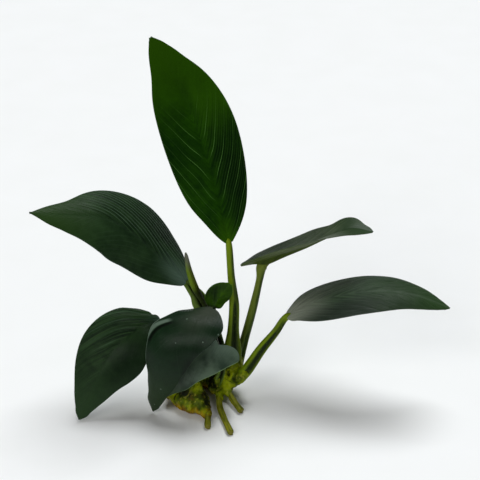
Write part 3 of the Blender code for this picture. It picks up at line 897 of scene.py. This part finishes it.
def midrib_reach(midrib):
    """How far along the midrib each step of it lies."""
    reach = [0]
    for i in range(MIDRIB_STEPS):
        step = along(midrib, (i + 1) / MIDRIB_STEPS) - along(midrib, i / MIDRIB_STEPS)
        reach.append(reach[-1] + step.length)
    return reach


def lifted(blade, share, side, width):
    """How far a point is folded up, or hangs and curls down, as a share of its half width."""
    out, half = abs(side), side > 0
    rise = between(blade["fold"], share) * out - blade["hang"][half] * side * side
    for curl_side, centre, reach, drop in blade["curls"]:
        turned = max(0, out - 0.74) / 0.26 * (curl_side * side > 0)
        rise -= drop * turned * turned * bell(share - centre, reach) / width
    return rise


def keel_depth(distance, share):
    """How far the midrib stands out below: most near the stalk, but little right at its joint."""
    keel = KEEL_AT_STALK * math.exp(-distance / 7) + KEEL_ALONG * (1 - share) + KEEL_AT_TIP
    return keel * (1 - 0.8 * math.exp(-distance / 1.4))


def grow_blade(name, blade):
    """Lays a grid along the midrib as the upper skin, with its veins sunk in. Each point keeps where
    it lies on the leaf: how far across, how far along, how near the margin, and its count of veins."""
    bm = bmesh.new()
    place_layer = bm.verts.layers.float_vector.new("blade_place")
    vein_layer = bm.verts.layers.float.new("vein_count")
    thickness_layer = bm.verts.layers.deform.new()
    bmesh.ops.create_grid(bm, x_segments=BLADE_COLUMNS, y_segments=BLADE_ROWS, size=1)
    midrib = curve(blade["midrib"])
    facing = curve(blade["facing"])
    reach = midrib_reach(midrib)
    seed = Vector((len(name) * 7.3, 0, 0))
    frames = {}
    for vert in bm.verts:
        even = (vert.co.y + 1) / 2
        eased = even * ROW_EVENNESS + (1 - math.cos(math.pi * even)) * (1 - ROW_EVENNESS) / 2
        share, side = round_corner(blade, eased, vert.co.x)
        if share not in frames:
            forward = heading(midrib, share)
            across = forward.cross(along(facing, share)).normalized()
            widths = [blade_half_width(blade, share, -1), blade_half_width(blade, share, 1)]
            frames[share] = (along(midrib, share), forward, across, across.cross(forward), widths)
        centre, forward, across, up, widths = frames[share]
        i = min(int(share * MIDRIB_STEPS), MIDRIB_STEPS - 1)
        distance = between(reach[i:i + 2], share * MIDRIB_STEPS - i)
        out = abs(side)
        half = side > 0
        width = widths[half]
        gap = out * width
        slope = blade["vein_slopes"][half] + gap * blade["vein_arch"]
        wander = noise.noise(Vector((side * width * 0.12, distance * 0.07, 0)) + seed) * VEIN_WANDER
        count = (distance - gap * slope + wander * min(1, gap / 3)) / blade["vein_gap"]
        off_vein = (count - round(count)) * blade["vein_gap"] / math.hypot(1, slope)
        sunk = bell(off_vein, blade["vein_width"]) * min(1, gap / 1.2) * (1 - out ** 6)
        depth = between(blade["vein_depth"], min(1, share * 1.8)) * min(1, blade["vein_show"][half])
        lobe = blade["lobe"][half] * (1 - share) ** 4 * out * (2 - out)
        wave = MARGIN_WAVE * out ** 3 * noise.noise(Vector((side * 2, distance * 0.09, 5)) + seed)
        groove = MIDRIB_GROOVE * min(1, max(blade["vein_show"])) * bell(gap, MIDRIB_WIDTH * 0.8)
        skin = SKIN_ABOVE_MIDDLE + wave - depth * sunk - groove * (1 - share)
        thickness = between((MARGIN_THICKNESS, MIDDLE_THICKNESS), 1 - out * out)
        thickness += keel_depth(distance, share) * bell(gap, MIDRIB_WIDTH) + VEIN_BELOW * sunk
        lift = lifted(blade, share, side, width) * width + skin
        vert.co = centre + across * side * width + up * lift - forward * lobe
        vert[place_layer] = (side * width, distance, out)
        vert[vein_layer] = count
        vert[thickness_layer][0] = min(1, thickness / THICKEST)
    return bm, reach[-1]


def blade_skin(name, look, length, underside):
    """Waxy green skin, lighter along the veins and in streaks between them, with a painted sheen by the
    stalk on most leaves, tints of which some are painted shade and painted light, and a painted shade line
    and highlight strip where a margin curls. The underside is paler and matt."""
    gloss = look["gloss"] * (0.5 if underside else 1)
    finish, shader, start = new_finish(("leaf underside " if underside else "leaf skin ") + name, gloss)
    where = start.kept("blade_place", "Vector")
    count = start.kept("vein_count", "Fac")
    place = start.place()
    across, distance, margin = where.part("X"), where.part("Y"), where.part("Z")
    gap = across.size()
    share = distance / length
    spread = look["vein_gap"] * 2 / math.hypot(1, look["vein_slopes"][1])
    run = start.node("ShaderNodeCombineXYZ", {}, {"X": count * spread, "Y": gap * 0.12, "Z": 0.0})
    streak = run.cloud(0.5, 3)
    fine = run.cloud(1.3, 3)
    band = run.cloud(0.2, 2)
    mottle = place.cloud(330, 4)
    grainy = place.cloud(2600, 2)
    ending = 1 - share.rise(look["vein_end"] - 0.3, look["vein_end"])
    fade = gap.rise(0.8, 3.5) * ending
    vein = count.line(look["vein_line"]) * streak.rise(0.3, 0.65) * fade
    minor = (count * look["minor"]).line(0.3) * fine * fade
    half = across.rise(-0.8, 0.8)
    veins = between(look["vein_show"], half)
    fines = between(look["fine_show"], half)
    patch = place.cloud(80, 2)
    lines = (streak - 0.5) * (veins * 0.4 + fines * 0.6) + (fine - 0.5) * fines
    lines = (lines + (band - 0.5) * veins * half * 0.6) * (ending * 0.65 + 0.35)
    mottled = lines + (mottle - 0.5) * (look["patchy"] * 0.6 + 0.35)
    body = mottled + (patch - 0.5) * (look["patchy"] * 2) + 0.5
    green = body.rise(0.1, 0.9).blend(look["dark"], look["light"])
    aged = share.rise(0.5, 1).blend(green, look["far"])
    for side, colour, amount, near, far, centre, reach in look["tints"]:
        there = (across * side).rise(near, far) * (1 - (share - centre).size().rise(0, reach)) * amount
        aged = there.blend(aged, colour)
    veined = (vein * veins * 0.8 + minor * fines * 0.45).blend(aged, look["vein"])
    ribbed = ((1 - gap.rise(0.25, 0.75)) * look["midrib_show"]).blend(veined, look["vein"])
    # A painted sheen by the stalk, a plain green on the tall, small and upper right leaves.
    sheen_along, sheen_across = look["sheen_by_stalk_reach"]
    tone_and_sheen_by_stalk = (1 - share.rise(0, sheen_along)) * (1 - gap.rise(0.5, sheen_across)) * (fine * 0.8 + 0.5)
    lit = tone_and_sheen_by_stalk.blend(ribbed, look["tone_and_sheen_by_stalk"])
    rimmed = (margin.rise(0.96, 0.995) * between(look["rim"], half)).blend(lit, look["vein"])
    # Where a margin curls down, a painted shade line lies inside it and a painted highlight strip along it.
    for side, centre, reach, drop in look["curls"]:
        turned = (across * side).rise(0, 1) * (1 - (share - centre).size().rise(reach * 0.8, reach * 1.3))
        off = margin - 0.86 - (share - centre) * 2
        curl_shade_line = off.rise(-0.22, -0.12) * (1 - off.rise(-0.09, -0.03)) * turned
        curl_highlight_strip = off.rise(-0.06, 0) * (1 - off.rise(0.08, 0.16)) * turned * 0.85
        rimmed = curl_highlight_strip.blend(curl_shade_line.blend(rimmed, shade(10, 18, 10)), look["vein"])
    dots = place.node("ShaderNodeTexVoronoi", {}, {"Vector": place, "Scale": 210.0}, "Distance")
    spotted = ((1 - dots.rise(0.05, 0.09)) * look["specks"]).blend(rimmed, look["vein"])
    if underside:
        spotted = (streak * 1.4 + fine * 0.6 - 0.35).rise(0, 1).blend(spotted, look["under"])
    height = fine * (fines * 0.4 + 0.15) + mottle * 0.3 + grainy * 0.12
    height = height - minor * fines * 0.15 - vein * veins * 0.25
    rough = look["rough"] + (0.15 if underside else 0) + mottle * 0.12 - fine * 0.08
    dress(shader, spotted, rough, height.relief(0.0005, 0.6))
    return finish


for name, own in BLADES.items():
    blade = USUAL_BLADE | own
    blade_mesh, length = grow_blade(name, blade)
    skins = [blade_skin(name, blade, length, False), blade_skin(name, blade, length, True)]
    leaf = add_piece("leaf_blade_" + name, blade_mesh, skins, ["blade_" + name])
    leaf.vertex_groups.new(name="thickness")
    flesh = leaf.modifiers.new("leaf flesh", "SOLIDIFY")
    flesh.thickness = THICKEST * MM
    flesh.offset = -1
    flesh.vertex_group = "thickness"
    flesh.material_offset = 1
    flesh.material_offset_rim = 0

# The newest leaf is still rolled up: a thin spike of one blade wound round itself, with its free edge
# running up it in a long spiral to a papery grey tip.
ROLL_LINE = [
    (5.2, -2.1, 9), (4.7, -2.6, 27), (3.4, -2.8, 36), (1, -3, 42.4), (-2, -3.7, 49.4), (-4.3, -4, 57.8),
    (-5.6, -4, 66.2),
]
ROLL_SIZES = [(1.2, 1.1), (1.15, 1.1), (1, 1), (1.1, 1), (1.5, 1.2), (1.25, 1.1), (0.65, 0.6)]
ROLL_SIDES = 40
ROLL_RINGS = 120
# Painted shade where the left leaf's stalk wraps it: full up to the first share of its length, and less to
# the next.
ROLL_STALK_SHADE = (0.67, 0.75)
ROLL_TIP_START = 0.96
ROLL_TIP_SHARE = 0.04
ROLL_SEAM_TURN = 2.2
ROLL_SEAM_START = 2.4
ROLL_LIP = 0.16


def seam_turn(share, angle):
    """How far round from the free edge a point lies, 0 to a full turn."""
    return (angle - ROLL_SEAM_START - ROLL_SEAM_TURN * share) % math.tau


def rolled(share, angle):
    turn = seam_turn(share, angle)
    lip = ROLL_LIP * (1 - turn / math.tau) - ROLL_LIP / 2
    closing = max(0, share - ROLL_TIP_START) / ROLL_TIP_SHARE
    return (1 + lip) * (1 - 0.5 * closing * closing)


def roll_skin(length):
    """Young green skin with fine veins, a pale free edge, painted shade in the step under that edge, an
    olive side, a greyish tip, and painted shade where the left leaf's stalk wraps it.
    """
    finish, shader, start = new_finish("rolled leaf skin", 0.14)
    place = start.place()
    grain = start.kept("grain", "Vector")
    turn = start.kept("seam_turn", "Fac")
    fibre = grain.cloud(5, 4, (1, 1, 0.04))
    skin = (grain.part("X") * 0.6 + fibre).rise(0.2, 1).blend(shade(106, 130, 34), shade(70, 80, 10))
    edged = (1 - turn.rise(0.1, 0.6)).blend(skin, shade(132, 160, 84))
    # Painted shade in the step under the free edge.
    shaded = (turn.rise(5.6, 6.2) * 0.8).blend(edged, shade(30, 40, 10))
    tipped = grain.part("Z").rise(length - 9, length - 1).blend(shaded, shade(104, 106, 92))
    in_stalk_shade = 1 - grain.part("Z").rise(length * ROLL_STALK_SHADE[0], length * ROLL_STALK_SHADE[1])
    stalk_shaded = (in_stalk_shade * 0.85).blend(tipped, shade(20, 28, 6))
    bumps = (fibre + place.cloud(1500, 3) * 0.3).relief(0.0003, 0.5)
    dress(shader, stalk_shaded, 0.4 + fibre * 0.25, bumps)
    return finish


roll = grow_rod(ROLL_LINE, ROLL_SIZES, ROLL_SIDES, ROLL_RINGS, STALK_FRONT, rolled)
grain_layer = roll.verts.layers.float_vector["grain"]
roll_length = rod_length(roll)
turn_layer = roll.verts.layers.float.new("seam_turn")
for vert in roll.verts:
    x, y, distance = vert[grain_layer]
    vert[turn_layer] = seam_turn(distance / roll_length, math.atan2(y, x))
add_piece("rolled_new_leaf", roll, [roll_skin(roll_length)], ["new_leaf_roll"])

# The table is matt white laminate that runs on out of sight, under a wide soft light from above and
# behind the plant and a weaker one from the front left. The camera looks down at it by 30 degrees.
TABLE_HALF_WIDTH = 8000
ROOM_GLOW = (0.1, 0.1, 0.1, 1)
BACKDROP = (0.88, 0.9, 0.91, 1)
VIEW_TARGET = Vector((16, 3, 68))
VIEW_DISTANCE = 600
VIEW_DROP = math.radians(30)
VIEW_LENS = 112.5
VIEW_SENSOR = 36
VIEW_NEAREST = 10

laminate, table_shader, start = new_finish("white laminate", 0.2)
speck = start.place().cloud(40, 2)
whites = speck.blend((0.86, 0.86, 0.85, 1), (0.89, 0.89, 0.89, 1))
dress(table_shader, whites, 0.7 + speck * 0.1)
table = bmesh.new()
bmesh.ops.create_grid(table, x_segments=1, y_segments=1, size=TABLE_HALF_WIDTH)
table_top = finished("table_top", table, [laminate])


def add_light(name, strength, softness, towards, colour):
    """A light so far off that it is even, and as soft as one behind a wide sheet of tracing paper."""
    lamp = bpy.data.lights.new(name, "SUN")
    lamp.energy = strength
    lamp.angle = math.radians(softness)
    lamp.color = colour
    light = add_object(name, lamp)
    light.rotation_euler = Vector(towards).to_track_quat("-Z", "Y").to_euler()


add_light("top_light", strength=2.8, softness=32, towards=(-0.1, -0.35, -1), colour=(0.95, 0.98, 1))
add_light("front_light", strength=0.9, softness=30, towards=(0.7, 0.9, -0.8), colour=(1, 1, 0.98))

room = bpy.data.worlds.new("room")
room.use_nodes = True
walls = Wire(room.node_tree)
seen = walls.node("ShaderNodeLightPath", {}, {}, "Is Camera Ray")
room_colour = seen.blend(ROOM_GLOW, BACKDROP)
room.node_tree.links.new(room_colour.socket, room.node_tree.nodes["Background"].inputs["Color"])
bpy.context.scene.world = room
bpy.context.scene.view_settings.view_transform = "Standard"

camera = add_object("camera", bpy.data.cameras.new("camera"))
view_back = Vector((0, -math.cos(VIEW_DROP), math.sin(VIEW_DROP)))
camera.location = (VIEW_TARGET + view_back * VIEW_DISTANCE) * MM
camera.rotation_euler = (math.pi / 2 - VIEW_DROP, 0, 0)
camera.data.lens = VIEW_LENS
camera.data.sensor_width = VIEW_SENSOR
camera.data.clip_start = VIEW_NEAREST * MM
bpy.context.scene.camera = camera
